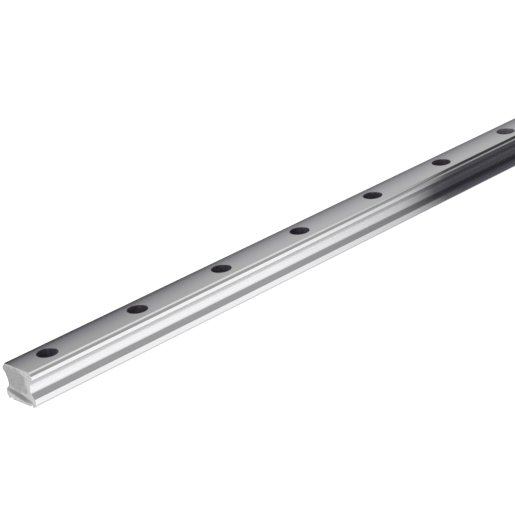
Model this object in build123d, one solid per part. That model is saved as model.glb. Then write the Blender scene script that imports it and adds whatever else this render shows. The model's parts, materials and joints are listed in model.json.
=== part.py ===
from build123d import *

import os

# A straight linear guide rail in ground steel, sizes in millimetres.
# The origin is the middle of the mounting face. +X runs along the rail, +Y across it and +Z up, out of the
# counterbores.

# Bar
rail_length = 460.0
rail_width = 23.0
rail_height = 19.5
end_edge_break = 0.2

# Screw holes, in one row along the middle
hole_pitch = 60.0
least_end_distance = 20.0
screw_hole_diameter = 7.0
counterbore_diameter = 11.0
counterbore_depth = 9.0
mouth_chamfer = 0.2

# Head, with an upper and a lower ball track on each side. Depths are below the top face, and insets are in
# from the side faces.
track_radius = 2.48
crown_inset = 1.6
upper_track_depth = 1.95
head_side_depth = 4.1
lower_track_depth = 6.6
lower_track_inset = 1.8

# Waist and base, with heights above the mounting face
waist_inset = 2.85
shoulder_inset = 2.55
shoulder_height = 7.4
base_side_height = 4.9
foot_bevel_height = 2.1
foot_bevel_width = 1.2

# Relief grooves under the base, between its two feet and the middle pad
relief_inset = 3.4
relief_width = 1.4
relief_depth = 1.0

os.makedirs("parts", exist_ok=True)


def half_outline():
    """Half of the section, from the middle of the foot round the side to the middle of the top."""
    side = rail_width / 2
    top = rail_height
    relief = side - relief_inset
    shoulder = (side - shoulder_inset, shoulder_height)
    track_foot = (side - lower_track_inset, top - lower_track_depth)
    waist = (side - waist_inset, (shoulder[1] + track_foot[1]) / 2)
    head_low = (side, top - head_side_depth)
    head_high = (side, top - upper_track_depth)
    crown = (side - crown_inset, top)
    pad = Line((0, 0), (relief - relief_width / 2, 0))
    groove = ThreePointArc(pad @ 1, (relief, relief_depth), (relief + relief_width / 2, 0))
    base = Polyline(
        groove @ 1,
        (side - foot_bevel_width, 0),
        (side, foot_bevel_height),
        (side, base_side_height),
        shoulder,
    )
    waist_arc = ThreePointArc(shoulder, waist, track_foot)
    lower_track = RadiusArc(track_foot, head_low, track_radius)
    head_side = Line(head_low, head_high)
    upper_track = RadiusArc(head_high, crown, track_radius)
    top_face = Line(crown, (0, top))
    return [pad, groove, base, waist_arc, lower_track, head_side, upper_track, top_face]


def section(x):
    """The whole section, which is the same on both sides of the middle, at one place along the rail."""
    with BuildSketch(Plane.YZ.offset(x)) as outline:
        with BuildLine():
            for piece in half_outline():
                add(piece)
            mirror(about=Plane.YZ)
        make_face()
    return outline.sketch


def bar():
    """The section carried along the rail, with its sharp edges broken at 45 degrees round both ends."""
    reach = rail_length / 2 - end_edge_break
    core = extrude(section(-reach), amount=2 * reach)
    tip = extrude(section(reach), amount=end_edge_break, taper=45)
    return core + tip + mirror(tip, about=Plane.YZ)


def hole_positions():
    """Where the screw holes are along X: one pitch apart, as many as the end distances leave room for."""
    count = int((rail_length - 2 * least_end_distance) // hole_pitch) + 1
    first = -(count - 1) * hole_pitch / 2
    return [first + index * hole_pitch for index in range(count)]


def screw_hole():
    """What one screw hole takes away, with its mouth on the top face: hole, counterbore and chamfer."""
    mouth = Plane.XY.offset(rail_height)
    through = extrude(mouth * Circle(screw_hole_diameter / 2), amount=-rail_height)
    seat = extrude(mouth * Circle(counterbore_diameter / 2), amount=-counterbore_depth)
    rim_radius = counterbore_diameter / 2 + mouth_chamfer
    rim = mouth.offset(-mouth_chamfer / 2) * Cone(counterbore_diameter / 2, rim_radius, mouth_chamfer)
    return through + seat + rim


def guide_rail():
    """The finished rail."""
    tool = screw_hole()
    return bar() - [Pos(x, 0, 0) * tool for x in hole_positions()]


export_step(guide_rail(), "parts/guide_rail.step")
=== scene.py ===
import json
import math

import bmesh
import bpy
import numpy as np
from mathutils import Matrix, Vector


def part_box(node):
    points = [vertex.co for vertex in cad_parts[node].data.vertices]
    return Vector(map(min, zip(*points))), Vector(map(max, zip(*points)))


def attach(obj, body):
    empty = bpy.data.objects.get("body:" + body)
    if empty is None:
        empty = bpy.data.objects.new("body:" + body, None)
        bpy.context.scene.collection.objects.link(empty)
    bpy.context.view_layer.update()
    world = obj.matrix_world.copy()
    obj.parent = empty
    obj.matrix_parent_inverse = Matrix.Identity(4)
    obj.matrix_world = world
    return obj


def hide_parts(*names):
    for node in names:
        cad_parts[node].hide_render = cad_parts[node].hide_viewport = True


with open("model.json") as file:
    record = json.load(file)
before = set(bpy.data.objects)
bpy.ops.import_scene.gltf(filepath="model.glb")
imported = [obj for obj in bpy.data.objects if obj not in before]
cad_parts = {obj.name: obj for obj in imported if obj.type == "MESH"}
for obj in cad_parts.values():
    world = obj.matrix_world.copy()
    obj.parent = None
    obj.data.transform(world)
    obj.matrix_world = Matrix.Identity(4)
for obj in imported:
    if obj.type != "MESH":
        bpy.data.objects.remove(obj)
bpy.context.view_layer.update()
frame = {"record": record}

# The rail as packed, in metres: how far it reaches from its origin, and where its screw holes are.
MM = 0.001
HIGH_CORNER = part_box("guide_rail")[1]
HALF_LENGTH = HIGH_CORNER.x
HALF_WIDTH = HIGH_CORNER.y
HEIGHT = HIGH_CORNER.z
MOUNTS = frame["record"]["mounts"]
SEATS = [mount for mount in MOUNTS if mount["name"].startswith("counterbore")]
SHANKS = [mount for mount in MOUNTS if mount["name"].startswith("screw_hole")]
HOLE_PLACES = [seat["pos_m"][0] for seat in SEATS]
HOLE_PITCH = HOLE_PLACES[1] - HOLE_PLACES[0]
SEAT_RADIUS = SEATS[0]["dims"]["r_mm"] * MM
SHANK_RADIUS = SHANKS[0]["dims"]["r_mm"] * MM
SEAT_FLOOR = SHANKS[0]["dims"]["length_mm"] * MM

# The section's own sizes. Depths are below the top face, and insets are in from the side faces.
TRACK_RADIUS = 2.48 * MM
CROWN_INSET = 1.6 * MM
UPPER_TRACK_DEPTH = 1.95 * MM
HEAD_SIDE_DEPTH = 4.1 * MM
LOWER_TRACK_DEPTH = 6.6 * MM
LOWER_TRACK_INSET = 1.8 * MM
WAIST_INSET = 2.85 * MM
SHOULDER_INSET = 2.55 * MM
SHOULDER_HEIGHT = 7.4 * MM
BASE_SIDE_HEIGHT = 4.9 * MM
FOOT_BEVEL_HEIGHT = 2.1 * MM
FOOT_BEVEL_WIDTH = 1.2 * MM
RELIEF_INSET = 3.4 * MM
RELIEF_WIDTH = 1.4 * MM
RELIEF_DEPTH = 1.0 * MM
END_EDGE_BREAK = 0.2 * MM
MOUTH_CHAMFER = 0.2 * MM

# How far the sharp edges are rounded, and how finely the surfaces are divided. Beside each rounded edge
# and hole, a flat strip that is HOLD wide keeps the shading of the faces flat. The spokes round a hole
# go in stretches.
EDGE_ROUND = 0.14 * MM
HOLD = 0.05 * MM
ARC_STEPS = 14
CORNER_STEPS = 4
STRETCHES = 8
STRETCH_SPOKES = 8
SPOKES = STRETCHES * STRETCH_SPOKES
SHARP_ANGLE = math.radians(30)

# Small amounts: the share of a run over which its direction is measured at its ends, how far three
# points may be out of line and still make a straight run, and the grid on which points become one.
PROBE = 1e-3
OUT_OF_LINE = 1e-9
WELD_GRID = 1e-4 * MM

# The finishes, in the order of the rail's material slots. A grain says how many of its grains go to a
# metre along X, Y and Z. Tones go from its dark places to its light ones. A mix or a roughness is an
# even part and then the share of each grain, and a relief is how deep the grain is pressed in.
FINISHES = ["ground", "track", "drawn", "sawn", "bored"]
GROUND_LINES = (9.0, 2600.0, 2600.0)
GROUND_CLOUDS = (28.0, 70.0, 70.0)
GROUND_MIX = (0.0, 0.6, 0.4)
GROUND_TONES = [(0.3, (0.835, 0.835, 0.85)), (0.7, (0.885, 0.885, 0.89))]
GROUND_ROUGHNESS = (0.06, 0.05, 0.04)
GROUND_RELIEF = 0.001 * MM
TRACK_LINES = (12.0, 3400.0, 3400.0)
TRACK_CLOUDS = (40.0, 90.0, 90.0)
# The track's tones are darker than the ground steel's: painted shade on the lower ball track under the
# head.
TRACK_TONES = [(0.3, (0.56, 0.56, 0.565)), (0.7, (0.63, 0.63, 0.635))]
TRACK_ROUGHNESS = (0.22, 0.08, 0.06)
TRACK_RELIEF = 0.0015 * MM
TRACK_METAL = 0.94
DRAWN_MOTTLE = (800.0, 1400.0, 1400.0)
DRAWN_DRAG = (45.0, 1500.0, 1500.0)
DRAWN_MIX = (0.0, 0.45, 0.55)
DRAWN_TONES = [(0.32, (0.84, 0.84, 0.865)), (0.68, (0.91, 0.91, 0.915))]
DRAWN_ROUGHNESS = (0.11, 0.06, 0.07)
DRAWN_RELIEF = 0.0009 * MM

# The cut-off ends: saw marks over a darker core inside the hardened rim, and the torn patch over the
# foot. Places are along Y and Z, and a slope is how much the core or the patch rises along Y. The marks
# mix is for the grit, the lines and the patches, the tone mix for the tear, the rim and the marks, and
# the height mix for the marks, the rim and the tear.
SAWN_GRIT = (1700.0, 1700.0, 1700.0)
SAWN_LINES = (900.0, 240.0, 2100.0)
SAWN_PATCHES = (560.0, 560.0, 560.0)
SAWN_MARKS_MIX = (0.0, 0.35, 0.2, 0.45)
SAWN_TONE_MIX = (-0.04, -0.58, 0.26, 1.0)
SAWN_TONES = [(0.0, (0.22, 0.22, 0.225)), (0.46, (0.42, 0.42, 0.42)), (0.85, (0.7, 0.7, 0.695))]
SAWN_ROUGHNESS = (0.5, 0.2)
SAWN_HEIGHT_MIX = (0.0, 1.0, 0.3, -1.5)
SAWN_RELIEF = 0.05 * MM
CORE_MIDDLE = (3.5 * MM, 12.1 * MM)
CORE_HALF_SIZE = (9.3 * MM, 5.9 * MM)
CORE_SLOPE = 0.12
TEAR_MIDDLE = (1.2 * MM, 4.05 * MM)
TEAR_HALF_SIZE = (8.2 * MM, 1.55 * MM)
TEAR_SLOPE = 0.14
TEAR_FADE = (0.3, 2.2)
RIM_FADE = (-1.6 * MM, 1.6 * MM)
WANDER_GRAIN = (260.0, 260.0, 260.0)
WANDER_MIX = (-4.0 * MM, 8.0 * MM)
TEAR_WANDER = 0.2

# The screw holes: blotches over dark tones that are painted shade inside the holes, the cutter's rings,
# and from where along X the walls are painted paler, which is painted light.
# The mix is for these three.
BORED_BLOTCHES = (420.0, 420.0, 420.0)
BORED_RINGS = 5200.0
BRIGHTER_FADE = (110.0 * MM, 130.0 * MM)
BORED_MIX = (0.0, 0.65, 0.35, 0.36)
BORED_TONES = [(0.3, (0.1, 0.09, 0.112)), (0.7, (0.26, 0.24, 0.275)), (1.0, (0.48, 0.465, 0.51))]
BORED_ROUGHNESS = (0.3, 0.25)
BORED_RELIEF = 0.012 * MM
BORED_METAL = 0.7

# The camera, in the rail's own frame
CAMERA_PLACE = (-0.727096, -0.742980, 0.428793)
CAMERA_AZIMUTH = math.radians(-41.779)
CAMERA_ELEVATION = math.radians(22.509)
CAMERA_ROLL = math.radians(-7.050)
CAMERA_LENS = 138.94
CAMERA_CLIP = (0.01, 100.0)
SENSOR_WIDTH = 36.0

# The floor. Its glow is what the camera sees. The steel mirrors it in other, painted tones, the contact
# tones, from the edge of the rail's foot out to the contact reach: a painted bright line close to the
# foot, painted shade of its bevel, painted light beside the side face, and then the open floor's tone,
# which is painted darker than the camera's glow.
FLOOR_REACH = 8.0
FLOOR_DROP = 0.2 * MM
FLOOR_GREY = 0.35
FLOOR_GLOW = 0.92
FLOOR_MIRRORED = 0.75
CONTACT_REACH = 6.0 * MM
CONTACT_TONES = [
    (0.067, 1.0),
    (0.09, 0.45),
    (0.2, 0.5),
    (0.24, 0.83),
    (0.72, 0.83),
    (1.0, FLOOR_MIRRORED),
]

# Daylight and softbox. The sky in the steel fades along its slant from its level to SKY_GREY of it.
DAYLIGHT = 0.55
SKY_LEVEL = 0.8
SKY_SLANT = (0.0, 0.25, 1.0)
SKY_FADE = (0.27, 0.40)
SKY_GREY = 0.46
SOFTBOX_SIZE = 2.0
SOFTBOX_POWER = 25.0
SOFTBOX_PLACE = (-1.2, 0.2, 1.6)
SOFTBOX_TURN = (math.radians(-7), math.radians(-37), 0.0)

# The graded card behind the rail glows and shows only in the steel: it paints a graded reflection on the
# top face. Where it stands, its tones from its lower edge up, and how much paler it gets towards the far
# end.
BACK_CARD_X = (-0.3, 1.0)
BACK_CARD_Y = 0.05
BACK_CARD_Z = (0.038, 0.062)
BACK_CARD_TONES = [
    (0.174, (0.02, 0.018, 0.024)),
    (0.192, (0.13, 0.125, 0.145)),
    (0.212, (0.2, 0.196, 0.22)),
    (0.27, (0.25, 0.248, 0.265)),
    (0.35, (0.31, 0.305, 0.325)),
    (0.45, (0.375, 0.372, 0.38)),
    (0.56, (0.415, 0.415, 0.41)),
]
BACK_CARD_LIFT = 0.105
BACK_CARD_LIFT_FADE = (-0.17, 0.05)

# The dark strip beside the far half, a glowing sheet seen only in the steel that paints a darker
# reflection on the far half
# of the side: where it stands, how far out from the rail's side its foot and its top edge are, how it
# thins out along X, and its tones from its foot up.
STRIP_X = (-80.0 * MM, 300.0 * MM)
STRIP_FOOT_OUT = 3.0 * MM
STRIP_TOP_OUT = 0.5 * MM
STRIP_HEIGHT = 20.9 * MM
STRIP_SLANT = 0.92
STRIP_FADE = (-60.0 * MM, 95.0 * MM)
STRIP_THICKNESS = [
    (0.0, 0.0),
    (0.3, 0.13),
    (0.58, 0.33),
    (0.68, 0.46),
    (0.77, 0.7),
    (0.87, 0.96),
    (0.97, 1.0),
]
STRIP_TONES = [
    (0.04, 0.12),
    (0.12, 0.083),
    (0.38, 0.077),
    (0.45, 0.05),
    (0.54, 0.028),
    (0.66, 0.018),
    (0.71, 0.108),
    (0.84, 0.055),
]
STRIP_COLOR = (0.88, 0.85, 1.0)

# The faces of a sheet that has four corners
ONE_FACE = np.array([[0, 1, 2, 3]])


def unit(vector):
    """The vector at length 1."""
    return vector / np.linalg.norm(vector)


def halfway(start, end):
    """The point halfway between two points."""
    return (np.array(start) + np.array(end)) / 2


def outward(tangent):
    """The outside of an outline that runs from the top round the +Y side: its direction turned left."""
    return np.array([-tangent[1], tangent[0]])


def arc_through(start, middle, end, shares):
    """Points on the circle through three points, at the given shares of the way round from start to
    end. The centre is where the upright bisectors of the two chords meet, worked out in complex
    numbers. Each point is the centre plus the radius turned by an angle that runs evenly from the
    start's to the end's. Three points in line give a straight run."""
    opening, halfpoint, closing = (complex(*point) for point in (start, middle, end))
    ratio = (closing - opening) / (halfpoint - opening)
    if abs(ratio.imag) < OUT_OF_LINE:
        return np.outer(1 - shares, start) + np.outer(shares, end)
    centre = (halfpoint - opening) * (ratio - abs(ratio) ** 2) / (2j * ratio.imag) + opening
    first, half, last = (np.angle(point - centre) for point in (opening, halfpoint, closing))
    turn = (last - first) % math.tau
    if (half - first) % math.tau > turn:
        turn -= math.tau
    points = centre + abs(opening - centre) * np.exp(1j * (first + turn * shares))
    return np.stack([points.real, points.imag], axis=1)


def track_middle(start, end):
    """The middle of an arc of the ball track's radius that bulges into the bar between two points:
    halfway along their chord, and in by the arc's sag."""
    chord = np.array(end) - np.array(start)
    half = np.linalg.norm(chord) / 2
    sag = TRACK_RADIUS - math.sqrt(TRACK_RADIUS**2 - half**2)
    return halfway(start, end) - sag * outward(unit(chord))


def half_section():
    """Half of the section, from the middle of the top round the +Y side to the middle of the foot: its
    corners, the middle point of the run after each corner, and the finish of that run. A run without a
    middle point of its own is straight."""
    relief = HALF_WIDTH - RELIEF_INSET
    top_middle = (0.0, HEIGHT)
    crown = (HALF_WIDTH - CROWN_INSET, HEIGHT)
    head_high = (HALF_WIDTH, HEIGHT - UPPER_TRACK_DEPTH)
    head_low = (HALF_WIDTH, HEIGHT - HEAD_SIDE_DEPTH)
    track_foot = (HALF_WIDTH - LOWER_TRACK_INSET, HEIGHT - LOWER_TRACK_DEPTH)
    shoulder = (HALF_WIDTH - SHOULDER_INSET, SHOULDER_HEIGHT)
    waist = (HALF_WIDTH - WAIST_INSET, (shoulder[1] + track_foot[1]) / 2)
    base_high = (HALF_WIDTH, BASE_SIDE_HEIGHT)
    base_low = (HALF_WIDTH, FOOT_BEVEL_HEIGHT)
    foot = (HALF_WIDTH - FOOT_BEVEL_WIDTH, 0.0)
    relief_out = (relief + RELIEF_WIDTH / 2, 0.0)
    relief_in = (relief - RELIEF_WIDTH / 2, 0.0)
    foot_middle = (0.0, 0.0)
    runs = [
        (top_middle, None, "ground"),
        (crown, track_middle(crown, head_high), "ground"),
        (head_high, None, "ground"),
        (head_low, track_middle(head_low, track_foot), "track"),
        (track_foot, waist, "drawn"),
        (shoulder, None, "drawn"),
        (base_high, None, "ground"),
        (base_low, None, "drawn"),
        (foot, None, "ground"),
        (relief_out, (relief, RELIEF_DEPTH), "drawn"),
        (relief_in, None, "ground"),
    ]
    corners = [corner for corner, _, _ in runs] + [foot_middle]
    middles = []
    for (corner, middle, _), following in zip(runs, corners[1:]):
        middles.append(halfway(corner, following) if middle is None else middle)
    return np.array(corners), np.array(middles), [finish for _, _, finish in runs]


def mitred(corners, middles, inset):
    """The corners drawn in by inset. Each moves along its mitre, which is the sum of the outward
    directions of the two runs that meet there, over one plus their product. The first and the last move
    straight in."""
    arrive, leave = [], []
    for start, middle, end in zip(corners, middles, corners[1:]):
        run = arc_through(start, middle, end, np.array([0.0, PROBE, 1 - PROBE, 1.0]))
        leave.append(outward(unit(run[1] - run[0])))
        arrive.append(outward(unit(run[3] - run[2])))
    moved = corners.copy()
    for number in range(1, len(corners) - 1):
        before, after = arrive[number - 1], leave[number]
        moved[number] = corners[number] - inset * (before + after) / (1 + before @ after)
    moved[0] = corners[0] - inset * leave[0]
    moved[-1] = corners[-1] - inset * arrive[-1]
    return moved


def run_shares(number, last, straight, span):
    """Where the points of a run lie, as shares of its length. It stops EDGE_ROUND short of its corners.
    A straight run has one more point at each end, HOLD further in. The first and the last run take
    their points from the spokes of the holes, and an arc goes in even steps."""
    cut, hold = EDGE_ROUND / span, (EDGE_ROUND + HOLD) / span
    if number == 0:
        return np.append(np.linspace(0, 1 - hold, STRETCH_SPOKES + 1), 1 - cut)
    if number == last:
        return np.append(cut, np.linspace(hold, 1, STRETCH_SPOKES + 1))
    if straight:
        return np.array([cut, hold, 1 - hold, 1 - cut])
    return np.linspace(cut, 1 - cut, ARC_STEPS + 1)


def section_ring(inset):
    """The half section as one line of points (y, z), drawn in by inset all round, and the finish of
    each step. A bend joins each run to the next. It is a curve of second degree with the corner as its
    control point: with a share from 0 to 1, the run's end counts by the square of the rest, the corner
    by twice the share times the rest, and the next run's start by the square of the share."""
    corners, middles, finishes = half_section()
    moved = mitred(corners, middles, inset)
    runs = []
    for number, middle in enumerate(middles):
        start, end = corners[number], corners[number + 1]
        straight = np.allclose(middle, halfway(start, end))
        span = np.linalg.norm(moved[number + 1] - moved[number])
        shares = run_shares(number, len(middles) - 1, straight, span)
        drawn_in = middle - inset * outward(unit(end - start))
        runs.append(arc_through(moved[number], drawn_in, moved[number + 1], shares))

    share = np.linspace(0, 1, CORNER_STEPS + 1)[1:-1, None]
    rest = 1 - share
    points = [runs[0]]
    steps = [finishes[0]] * (len(runs[0]) - 1)
    for number in range(1, len(runs)):
        before, run = runs[number - 1], runs[number]
        points.append(rest**2 * before[-1] + 2 * share * rest * moved[number] + share**2 * run[0])
        points.append(run)
        steps += [finishes[number - 1]] * CORNER_STEPS
        steps += [finishes[number]] * (len(run) - 1)
    return np.concatenate(points), steps


def closed_ring(half):
    """The whole section from its half, turned over for the -Y side."""
    other = half[1:-1][::-1] * np.array([-1.0, 1.0])
    return np.concatenate([half, other])


def grid_faces(rows, columns, closed=False):
    """Four-sided faces of a grid of points that is stored row by row. A closed grid's last column is
    joined to its first."""
    index = np.arange(rows * columns).reshape(rows, columns)
    if closed:
        index = np.concatenate([index, index[:, :1]], axis=1)
    corners = [index[:-1, :-1], index[1:, :-1], index[1:, 1:], index[:-1, 1:]]
    return np.stack([part.reshape(-1) for part in corners], axis=1)


def swept(line, places):
    """A line of points (y, z) carried along X: one row of the grid at each place."""
    x = np.repeat(places, len(line))
    yz = np.tile(line, (len(places), 1))
    return np.column_stack([x, yz]), grid_faces(len(places), len(line))


def rectangle_spokes(left, right, half_width):
    """SPOKES points round a rectangle about a hole's middle, turning left from +X. They go in eight
    evenly divided stretches, each between a corner of the rectangle and the X or Y axis."""
    share = np.arange(STRETCH_SPOKES) / STRETCH_SPOKES
    full = np.ones(STRETCH_SPOKES)
    x = [right * full, right * (1 - share), left * share, left * full]
    x += [left * full, left * (1 - share), right * share, right * full]
    y = [share, full, full, 1 - share, -share, -full, -full, share - 1]
    return np.concatenate(x), half_width * np.concatenate(y)


def plate_round_hole(left, right, half_width, radius, height):
    """The flat face round one hole: the hole's circle, one HOLD further out, and the rectangle of the
    hole's cell. Each point is the circle's point, the radius times the cosine and sine of its turn,
    plus a share of the way to the rectangle's."""
    turn = np.arange(SPOKES) / SPOKES * math.tau
    x, y = rectangle_spokes(left, right, half_width)
    rings = []
    for circle, share in ((radius, 0.0), (radius + HOLD, 0.0), (radius, 1.0)):
        ring_x = circle * np.cos(turn) * (1 - share) + x * share
        ring_y = circle * np.sin(turn) * (1 - share) + y * share
        rings.append(np.stack([ring_x, ring_y, np.full(SPOKES, height)], axis=1))
    return np.concatenate(rings), grid_faces(len(rings), SPOKES, closed=True)


def hole_wall():
    """One screw hole: its outline (radius, height) turned about the upright axis, so that each point is
    the radius times the cosine and sine of the turn."""
    outline = [
        (SEAT_RADIUS + MOUTH_CHAMFER, HEIGHT),
        (SEAT_RADIUS, HEIGHT - MOUTH_CHAMFER),
        (SEAT_RADIUS, SEAT_FLOOR),
        (SHANK_RADIUS, SEAT_FLOOR),
        (SHANK_RADIUS, 0.0),
    ]
    radius, height = np.array(outline).T
    turn = np.arange(SPOKES) / SPOKES * math.tau
    x = np.outer(radius, np.cos(turn))
    y = np.outer(radius, np.sin(turn))
    z = np.outer(height, np.ones(SPOKES))
    points = np.stack([x, y, z], axis=2).reshape(-1, 3)
    return points, grid_faces(len(outline), SPOKES, closed=True)


def cell_edges():
    """Where the cells round the holes meet along X: the ends of the straight part, and halfway between
    one hole and the next."""
    reach = HALF_LENGTH - END_EDGE_BREAK
    places = np.array(HOLE_PLACES)
    return np.concatenate([[-reach], (places[1:] + places[:-1]) / 2, [reach]])


def length_stations():
    """Every place along X where the spokes of the plates meet the sides."""
    edges = cell_edges()
    share = np.arange(STRETCH_SPOKES) / STRETCH_SPOKES
    stations = []
    for place, left, right in zip(HOLE_PLACES, edges, edges[1:]):
        stations += [left + (place - left) * share, place + (right - place) * share]
    return np.append(np.concatenate(stations), edges[-1])


def with_finish(points, faces, name):
    """One surface of the rail: its points, its faces and the finish of each face, here all the same."""
    return points, faces, np.full(len(faces), FINISHES.index(name))


def side_surfaces(half, steps):
    """The two sides, between the edges of the top and the foot: the section's line carried along X, and
    turned over for the -Y side."""
    side = half[STRETCH_SPOKES : len(half) - STRETCH_SPOKES]
    finish = [FINISHES.index(name) for name in steps[STRETCH_SPOKES : len(steps) - STRETCH_SPOKES]]
    stations = length_stations()
    surfaces = []
    for sign in (1.0, -1.0):
        points, faces = swept(side * np.array([sign, 1.0]), stations)
        surfaces.append((points, faces, np.tile(finish, len(stations) - 1)))
    return surfaces


def hole_surfaces(half):
    """The top and the foot, as one plate round each hole, and the walls of the holes."""
    top_reach = half[STRETCH_SPOKES, 0]
    foot_reach = half[-1 - STRETCH_SPOKES, 0]
    mouth = SEAT_RADIUS + MOUTH_CHAMFER
    wall, wall_faces = hole_wall()
    edges = cell_edges()
    surfaces = []
    for place, left, right in zip(HOLE_PLACES, edges, edges[1:]):
        along = np.array([place, 0.0, 0.0])
        top, plate_faces = plate_round_hole(left - place, right - place, top_reach, mouth, HEIGHT)
        foot, _ = plate_round_hole(left - place, right - place, foot_reach, SHANK_RADIUS, 0.0)
        surfaces.append(with_finish(top + along, plate_faces, "ground"))
        surfaces.append(with_finish(foot + along, plate_faces, "ground"))
        surfaces.append(with_finish(wall + along, wall_faces, "bored"))
    return surfaces


def end_surfaces(half):
    """The broken edge round each end, from the section at the end of the straight part to the drawn-in
    section at the tip."""
    tip, _ = section_ring(END_EDGE_BREAK)
    surfaces = []
    for sign in (1.0, -1.0):
        rings = []
        for line, x in ((half, HALF_LENGTH - END_EDGE_BREAK), (tip, HALF_LENGTH)):
            ring = closed_ring(line)
            rings.append(np.column_stack([np.full(len(ring), sign * x), ring]))
        faces = grid_faces(len(rings), len(rings[0]), closed=True)
        surfaces.append(with_finish(np.concatenate(rings), faces, "sawn"))
    return surfaces


def welded(surfaces):
    """All the surfaces as one mesh: points that round to the same place on the weld grid become one. It
    also gives the mesh's point for each point of the surfaces."""
    points = np.concatenate([surface[0] for surface in surfaces])
    starts = np.cumsum([0] + [len(surface[0]) for surface in surfaces[:-1]])
    faces = np.concatenate([surface[1] + start for surface, start in zip(surfaces, starts)])
    finish = np.concatenate([surface[2] for surface in surfaces])
    keys = np.round(points / WELD_GRID).astype(np.int64)
    _, first, became = np.unique(keys, axis=0, return_index=True, return_inverse=True)
    became = became.reshape(-1)
    return points[first], became[faces], finish, became


def turn_faces_outward(mesh):
    """Turns every face of the closed mesh so that it points out of the steel."""
    shell = bmesh.new()
    shell.from_mesh(mesh)
    bmesh.ops.recalc_face_normals(shell, faces=shell.faces)
    shell.to_mesh(mesh)
    shell.free()


def make_rail():
    """The rail as one closed mesh, with a flat cap on each end. The ends' surfaces come last, each as
    its inner ring and then its tip's, so the caps' points are found from the end of the list."""
    half, steps = section_ring(0.0)
    ends = end_surfaces(half)
    surfaces = side_surfaces(half, steps) + hole_surfaces(half) + ends
    points, faces, finish, became = welded(surfaces)
    ends_size = sum(len(end[0]) for end in ends)
    end_rings = became[-ends_size:].reshape(len(ends), 2, -1)
    far_tip, near_tip = end_rings[:, 1].tolist()
    caps = [far_tip[::-1], near_tip]
    mesh = bpy.data.meshes.new("ground_rail")
    mesh.from_pydata(points.tolist(), [], faces.tolist() + caps)
    finish = np.append(finish, [FINISHES.index("sawn")] * len(caps)).astype(np.int32)
    mesh.polygons.foreach_set("material_index", finish)
    mesh.polygons.foreach_set("use_smooth", np.ones(len(mesh.polygons), dtype=bool))
    rail = bpy.data.objects.new("ground_rail", mesh)
    bpy.context.scene.collection.objects.link(rail)
    turn_faces_outward(mesh)
    mesh.set_sharp_from_angle(angle=SHARP_ANGLE)
    return rail


def node(tree, kind, inputs=None, **settings):
    """One node with its settings, and each named input given a value or linked to a socket."""
    made = tree.nodes.new(kind)
    for name, value in settings.items():
        setattr(made, name, value)
    for socket, value in (inputs or {}).items():
        if isinstance(value, bpy.types.NodeSocket):
            tree.links.new(value, made.inputs[socket])
        else:
            made.inputs[socket].default_value = value
    return made


def maths(tree, operation, *values):
    """The result of one Math node on the given values or sockets."""
    return node(tree, "ShaderNodeMath", dict(enumerate(values)), operation=operation).outputs[0]


def weighted(tree, values, mix):
    """The mix's first number, plus each value times the number for it."""
    total = mix[0]
    for value, weight in zip(values, mix[1:]):
        total = maths(tree, "MULTIPLY_ADD", value, weight, total)
    return total


def squares(tree, first, second):
    """The sum of two squares."""
    return maths(tree, "MULTIPLY_ADD", first, first, maths(tree, "MULTIPLY", second, second))


def fade(tree, value, low, high, at_low=0.0, at_high=1.0):
    """A smooth change from at_low to at_high while value goes from low to high."""
    sockets = {"Value": value, "From Min": low, "From Max": high, "To Min": at_low, "To Max": at_high}
    return node(tree, "ShaderNodeMapRange", sockets, interpolation_type="SMOOTHSTEP").outputs[0]


def grey(level):
    """A grey as a colour."""
    return (level, level, level, 1.0)


def shades(tree, value, stops):
    """A colour that follows value through the stops, each a place and a colour or grey."""
    made = node(tree, "ShaderNodeValToRGB", {"Fac": value})
    ramp = made.color_ramp
    while len(ramp.elements) < len(stops):
        ramp.elements.new(1.0)
    for element, (place, color) in zip(ramp.elements, stops):
        element.position = place
        element.color = (*color, 1.0) if isinstance(color, tuple) else grey(color)
    return made.outputs["Color"]


def own_place(tree):
    """The place on the piece, in its own X, Y and Z."""
    own = node(tree, "ShaderNodeTexCoord").outputs["Object"]
    return node(tree, "ShaderNodeSeparateXYZ", {0: own}).outputs


def grain(tree, stretch, detail=3.0, roughness=0.55):
    """Noise on the rail's own coordinates. Stretch is how many grains go to a metre on each axis."""
    own = node(tree, "ShaderNodeTexCoord").outputs["Object"]
    place = node(tree, "ShaderNodeMapping", {"Vector": own, "Scale": stretch}).outputs[0]
    sockets = {"Vector": place, "Scale": 1.0, "Detail": detail, "Roughness": roughness}
    return node(tree, "ShaderNodeTexNoise", sockets).outputs["Fac"]


def new_material(name):
    """An empty node material and its tree."""
    material = bpy.data.materials.new(name)
    material.use_nodes = True
    material.node_tree.nodes.clear()
    return material, material.node_tree


def finish_steel(tree, color, roughness, height, relief, metal=1.0):
    """The steel itself: a metal of the given colour and roughness, with height pressed into it by
    relief."""
    pressed = {"Strength": 1.0, "Distance": relief, "Height": height}
    bump = node(tree, "ShaderNodeBump", pressed).outputs[0]
    sockets = {"Base Color": color, "Roughness": roughness, "Metallic": metal, "Normal": bump}
    shader = node(tree, "ShaderNodeBsdfPrincipled", sockets).outputs[0]
    node(tree, "ShaderNodeOutputMaterial", {"Surface": shader})


def ground_steel():
    """Bright faces that a grinding wheel has passed along: long fine lines, and broad faint clouds of
    handling."""
    material, tree = new_material("ground_steel")
    lines = grain(tree, GROUND_LINES, detail=4.0)
    clouds = grain(tree, GROUND_CLOUDS, detail=2.0)
    color = shades(tree, weighted(tree, (lines, clouds), GROUND_MIX), GROUND_TONES)
    roughness = weighted(tree, (lines, clouds), GROUND_ROUGHNESS)
    finish_steel(tree, color, roughness, lines, GROUND_RELIEF)
    return material


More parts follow.
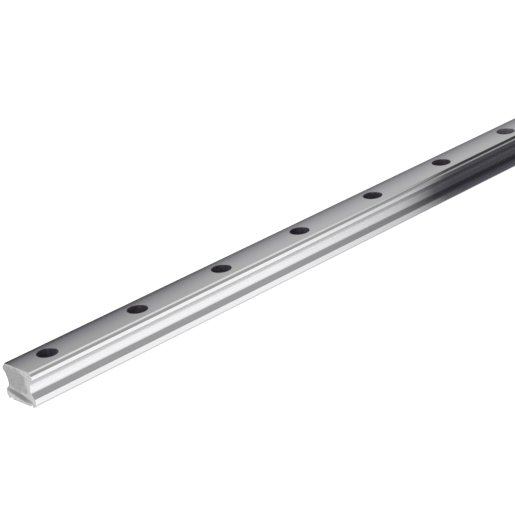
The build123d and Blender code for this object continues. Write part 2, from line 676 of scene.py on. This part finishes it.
def track_steel():
    """The ball track under the head: ground like the rest and a little rougher. Its darker colour is
    painted shade under the head.
    """
    material, tree = new_material("track_steel")
    lines = grain(tree, TRACK_LINES, detail=4.0)
    clouds = grain(tree, TRACK_CLOUDS, detail=2.0)
    color = shades(tree, lines, TRACK_TONES)
    roughness = weighted(tree, (lines, clouds), TRACK_ROUGHNESS)
    finish_steel(tree, color, roughness, lines, TRACK_RELIEF, metal=TRACK_METAL)
    return material


def drawn_steel():
    """The waist, shoulder and foot as the drawing die left them: short scratches over a finely mottled
    skin."""
    material, tree = new_material("drawn_steel")
    drag = grain(tree, DRAWN_DRAG, detail=3.0)
    mottle = grain(tree, DRAWN_MOTTLE, detail=3.0, roughness=0.6)
    mixed = weighted(tree, (drag, mottle), DRAWN_MIX)
    color = shades(tree, mixed, DRAWN_TONES)
    roughness = weighted(tree, (drag, mottle), DRAWN_ROUGHNESS)
    finish_steel(tree, color, roughness, mixed, DRAWN_RELIEF)
    return material


def hardened_rim(tree, place, wander):
    """How far a place on the cut-off end is into the rim: 0 in the core and 1 outside it. The core is a
    rectangle that slopes with CORE_SLOPE, and its edge wanders."""
    middle_height = maths(tree, "MULTIPLY_ADD", place["Y"], CORE_SLOPE, CORE_MIDDLE[1])
    aside = maths(tree, "ABSOLUTE", maths(tree, "SUBTRACT", place["Y"], CORE_MIDDLE[0]))
    above = maths(tree, "ABSOLUTE", maths(tree, "SUBTRACT", place["Z"], middle_height))
    past_side = maths(tree, "SUBTRACT", aside, CORE_HALF_SIZE[0])
    past_top = maths(tree, "SUBTRACT", above, CORE_HALF_SIZE[1])
    past_core = maths(tree, "ADD", maths(tree, "MAXIMUM", past_side, past_top), wander)
    return fade(tree, past_core, *RIM_FADE)


def torn_patch(tree, place, wander):
    """How torn a place on the cut-off end is: 1 in the middle of the patch and 0 outside it. The patch
    is an ellipse that slopes with TEAR_SLOPE, and its edge wanders a little."""
    beside = maths(tree, "SUBTRACT", place["Y"], TEAR_MIDDLE[0])
    middle_height = maths(tree, "MULTIPLY_ADD", beside, TEAR_SLOPE, TEAR_MIDDLE[1])
    above = maths(tree, "SUBTRACT", place["Z"], middle_height)
    across = maths(tree, "DIVIDE", beside, TEAR_HALF_SIZE[0])
    wandered = maths(tree, "MULTIPLY_ADD", wander, TEAR_WANDER, above)
    rise = maths(tree, "DIVIDE", wandered, TEAR_HALF_SIZE[1])
    return fade(tree, squares(tree, across, rise), *TEAR_FADE, 1.0, 0.0)


def sawn_steel():
    """The cut-off ends: matt, with saw marks, a paler hardened rim of uneven depth round a darker core,
    and a dark torn patch over the foot where the last of the metal broke away."""
    material, tree = new_material("sawn_steel")
    place = own_place(tree)
    wander = weighted(tree, (grain(tree, WANDER_GRAIN, detail=4.0, roughness=0.65),), WANDER_MIX)
    rim = hardened_rim(tree, place, wander)
    tear = torn_patch(tree, place, wander)
    grit = grain(tree, SAWN_GRIT, detail=4.0, roughness=0.7)
    lines = grain(tree, SAWN_LINES, detail=3.0)
    patches = grain(tree, SAWN_PATCHES, detail=3.0)
    marks = weighted(tree, (grit, lines, patches), SAWN_MARKS_MIX)
    color = shades(tree, weighted(tree, (tear, rim, marks), SAWN_TONE_MIX), SAWN_TONES)
    roughness = weighted(tree, (marks,), SAWN_ROUGHNESS)
    height = weighted(tree, (marks, rim, tear), SAWN_HEIGHT_MIX)
    finish_steel(tree, color, roughness, height, SAWN_RELIEF)
    return material


def bored_steel():
    """The screw holes: blotches over a dark colour that is painted shade inside the holes, with the fine
    rings that the cutter left.
    The rings follow the height plus the distance from the hole's axis, which changes on the walls and on
    the seat alike."""
    material, tree = new_material("bored_steel")
    place = own_place(tree)
    from_first = maths(tree, "SUBTRACT", place["X"], HOLE_PLACES[0])
    aside = maths(tree, "WRAP", from_first, HOLE_PITCH / 2, -HOLE_PITCH / 2)
    from_axis = maths(tree, "SQRT", squares(tree, aside, place["Y"]))
    reach = maths(tree, "ADD", place["Z"], from_axis)
    line = node(tree, "ShaderNodeCombineXYZ", {"X": reach}).outputs[0]
    sockets = {"Vector": line, "Scale": BORED_RINGS, "Detail": 2.0}
    rings = node(tree, "ShaderNodeTexNoise", sockets).outputs["Fac"]
    # Blotches over the dark tones, which paint the shade inside the holes.
    dark_blotches = grain(tree, BORED_BLOTCHES, detail=4.0, roughness=0.6)
    # Painted light: the walls of the holes past BRIGHTER_FADE along X are painted paler.
    brighter = fade(tree, place["X"], *BRIGHTER_FADE)
    color = shades(tree, weighted(tree, (dark_blotches, rings, brighter), BORED_MIX), BORED_TONES)
    roughness = weighted(tree, (dark_blotches,), BORED_ROUGHNESS)
    finish_steel(tree, color, roughness, rings, BORED_RELIEF, metal=BORED_METAL)
    return material


def make_camera():
    """A camera at the photograph's angle: its forward line from the azimuth and elevation, turned by
    the roll."""
    forward = np.array([
        -math.sin(CAMERA_AZIMUTH) * math.cos(CAMERA_ELEVATION),
        math.cos(CAMERA_AZIMUTH) * math.cos(CAMERA_ELEVATION),
        -math.sin(CAMERA_ELEVATION),
    ])
    level = unit(np.cross(forward, [0.0, 0.0, 1.0]))
    rise = np.cross(level, forward)
    right = math.cos(CAMERA_ROLL) * level + math.sin(CAMERA_ROLL) * rise
    up = -math.sin(CAMERA_ROLL) * level + math.cos(CAMERA_ROLL) * rise
    matrix = np.eye(4)
    matrix[:3, :3] = np.column_stack([right, up, -forward])
    matrix[:3, 3] = CAMERA_PLACE
    data = bpy.data.cameras.new("camera")
    data.lens = CAMERA_LENS
    data.sensor_width = SENSOR_WIDTH
    data.clip_start, data.clip_end = CAMERA_CLIP
    camera = bpy.data.objects.new("camera", data)
    camera.matrix_world = Matrix(matrix.tolist())
    bpy.context.scene.collection.objects.link(camera)
    bpy.context.scene.camera = camera


def glow(tree, strength, color=grey(1.0)):
    """Light of the given strength and colour."""
    return node(tree, "ShaderNodeEmission", {"Strength": strength, "Color": color}).outputs[0]


def added(tree, first, second):
    """Two shaders' light added up."""
    return node(tree, "ShaderNodeAddShader", {0: first, 1: second}).outputs[0]


def sheet(name, points, faces, material):
    """A flat or folded sheet of the studio, in one material."""
    mesh = bpy.data.meshes.new(name)
    mesh.from_pydata(points.tolist(), [], faces.tolist())
    mesh.materials.append(material)
    thing = bpy.data.objects.new(name, mesh)
    bpy.context.scene.collection.objects.link(thing)
    return thing


def in_mirror(thing):
    """Kept out of the picture, the daylight and the shadows: it only shows as a reflection in the
    steel."""
    thing.visible_camera = False
    thing.visible_diffuse = False
    thing.visible_shadow = False
    thing.visible_transmission = False


def make_floor():
    """A pale floor that glows white to the camera and takes the rail's soft shadow. The steel mirrors it
    in the contact tones, painted reflection tones with painted shade and light near the foot, by how far
    out from the foot's edge or past the ends it lies."""
    material, tree = new_material("pale_floor")
    ray = node(tree, "ShaderNodeLightPath").outputs
    place = own_place(tree)
    beside = maths(tree, "SUBTRACT", maths(tree, "ABSOLUTE", place["Y"]), HALF_WIDTH - FOOT_BEVEL_WIDTH)
    beyond = maths(tree, "SUBTRACT", maths(tree, "ABSOLUTE", place["X"]), HALF_LENGTH)
    away = maths(tree, "MAXIMUM", beside, beyond)
    # Painted reflection: the floor's tones in the steel, with painted shade and light beside the foot.
    mirrored = shades(tree, maths(tree, "DIVIDE", away, CONTACT_REACH), CONTACT_TONES)
    in_steel = maths(tree, "MAXIMUM", ray["Is Glossy Ray"], ray["Is Transmission Ray"])
    reflected = maths(tree, "MULTIPLY", in_steel, mirrored)
    seen = maths(tree, "MULTIPLY_ADD", ray["Is Camera Ray"], FLOOR_GLOW, reflected)
    matt = node(tree, "ShaderNodeBsdfDiffuse", {"Color": grey(FLOOR_GREY)}).outputs[0]
    node(tree, "ShaderNodeOutputMaterial", {"Surface": added(tree, glow(tree, seen), matt)})
    corners = np.array([[-1.0, -1.0, 0.0], [1.0, -1.0, 0.0], [1.0, 1.0, 0.0], [-1.0, 1.0, 0.0]])
    points = corners * FLOOR_REACH - np.array([0.0, 0.0, FLOOR_DROP])
    sheet("floor", points, ONE_FACE, material)


def make_back_card():
    """A graded glowing card behind the rail, which only the steel shows: a painted reflection on the top
    face, dark at its lower edge and pale above."""
    material, tree = new_material("back_card")
    place = own_place(tree)
    low, high = BACK_CARD_Z
    left, right = BACK_CARD_X
    share = maths(tree, "DIVIDE", maths(tree, "SUBTRACT", place["Z"], low), high - low)
    graded = glow(tree, 1.0, shades(tree, share, BACK_CARD_TONES))
    lift = glow(tree, fade(tree, place["X"], *BACK_CARD_LIFT_FADE, 0.0, BACK_CARD_LIFT))
    node(tree, "ShaderNodeOutputMaterial", {"Surface": added(tree, graded, lift)})
    corners = [(left, low), (right, low), (right, high), (left, high)]
    points = np.array([(x, BACK_CARD_Y, z) for x, z in corners])
    in_mirror(sheet("back_card", points, ONE_FACE, material))


def make_dark_strip():
    """A dark strip that stands on the floor beside the rail's far half. It glows dimly and only shows in
    the steel, as a painted dark reflection on the far half of the side. Its profile is a straight run
    out from the foot and one that leans back to the top edge, and it is carried along X. It thins out
    towards the near end, by the place along X less a share of the distance from the middle of the rail's
    side, so that all the side's bands fade at one place."""
    material, tree = new_material("dark_strip")
    place = own_place(tree)
    out = maths(tree, "ADD", place["Y"], HALF_WIDTH)
    above = maths(tree, "SUBTRACT", place["Z"], HEIGHT / 2)
    from_side = maths(tree, "SQRT", squares(tree, out, above))
    along = maths(tree, "MULTIPLY_ADD", from_side, -STRIP_SLANT, place["X"])
    start, end = STRIP_FADE
    share = maths(tree, "DIVIDE", maths(tree, "SUBTRACT", along, start), end - start)
    thick = shades(tree, share, STRIP_THICKNESS)
    tone = shades(tree, maths(tree, "DIVIDE", place["Z"], STRIP_HEIGHT), STRIP_TONES)
    clear = node(tree, "ShaderNodeBsdfTransparent").outputs[0]
    dark = glow(tree, tone, (*STRIP_COLOR, 1.0))
    both = node(tree, "ShaderNodeMixShader", {0: thick, 1: clear, 2: dark}).outputs[0]
    node(tree, "ShaderNodeOutputMaterial", {"Surface": both})
    profile = [
        (FOOT_BEVEL_WIDTH / 2 - HALF_WIDTH, 0.0),
        (-HALF_WIDTH - STRIP_FOOT_OUT, 0.0),
        (-HALF_WIDTH - STRIP_TOP_OUT, STRIP_HEIGHT),
    ]
    points, faces = swept(np.array(profile), np.array(STRIP_X))
    in_mirror(sheet("dark_strip", points, faces, material))


def make_world():
    """Even soft light all round. In the steel the sky is bright low down and greyer overhead. Its tone
    follows the direction's height plus a share of how far back it points, so the bright part reaches
    higher over the front."""
    world = bpy.data.worlds.new("studio")
    bpy.context.scene.world = world
    world.use_nodes = True
    tree = world.node_tree
    tree.nodes.clear()
    ray = node(tree, "ShaderNodeLightPath").outputs
    way = node(tree, "ShaderNodeTexCoord").outputs["Generated"]
    rise = node(tree, "ShaderNodeVectorMath", {0: way, 1: SKY_SLANT}, operation="DOT_PRODUCT")
    tone = fade(tree, rise.outputs["Value"], *SKY_FADE, 1.0, SKY_GREY)
    mirrored = maths(tree, "MULTIPLY", ray["Is Glossy Ray"], tone)
    seen = maths(tree, "ADD", ray["Is Camera Ray"], mirrored)
    strength = maths(tree, "MULTIPLY_ADD", ray["Is Diffuse Ray"], DAYLIGHT, seen)
    sky = node(tree, "ShaderNodeBackground", {"Color": grey(SKY_LEVEL), "Strength": strength}).outputs[0]
    node(tree, "ShaderNodeOutputWorld", {"Surface": sky})


def make_lamp():
    """A square softbox over the near end, turned towards the rail."""
    data = bpy.data.lights.new("softbox", "AREA")
    data.shape = "SQUARE"
    data.size = SOFTBOX_SIZE
    data.energy = SOFTBOX_POWER
    lamp = bpy.data.objects.new("softbox", data)
    lamp.location = SOFTBOX_PLACE
    lamp.rotation_euler = SOFTBOX_TURN
    bpy.context.scene.collection.objects.link(lamp)


rail = make_rail()
for material in (ground_steel(), track_steel(), drawn_steel(), sawn_steel(), bored_steel()):
    rail.data.materials.append(material)
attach(rail, "root")
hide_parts("guide_rail")
make_camera()
make_floor()
make_back_card()
make_dark_strip()
make_world()
make_lamp()
bpy.context.scene.view_settings.view_transform = "Standard"
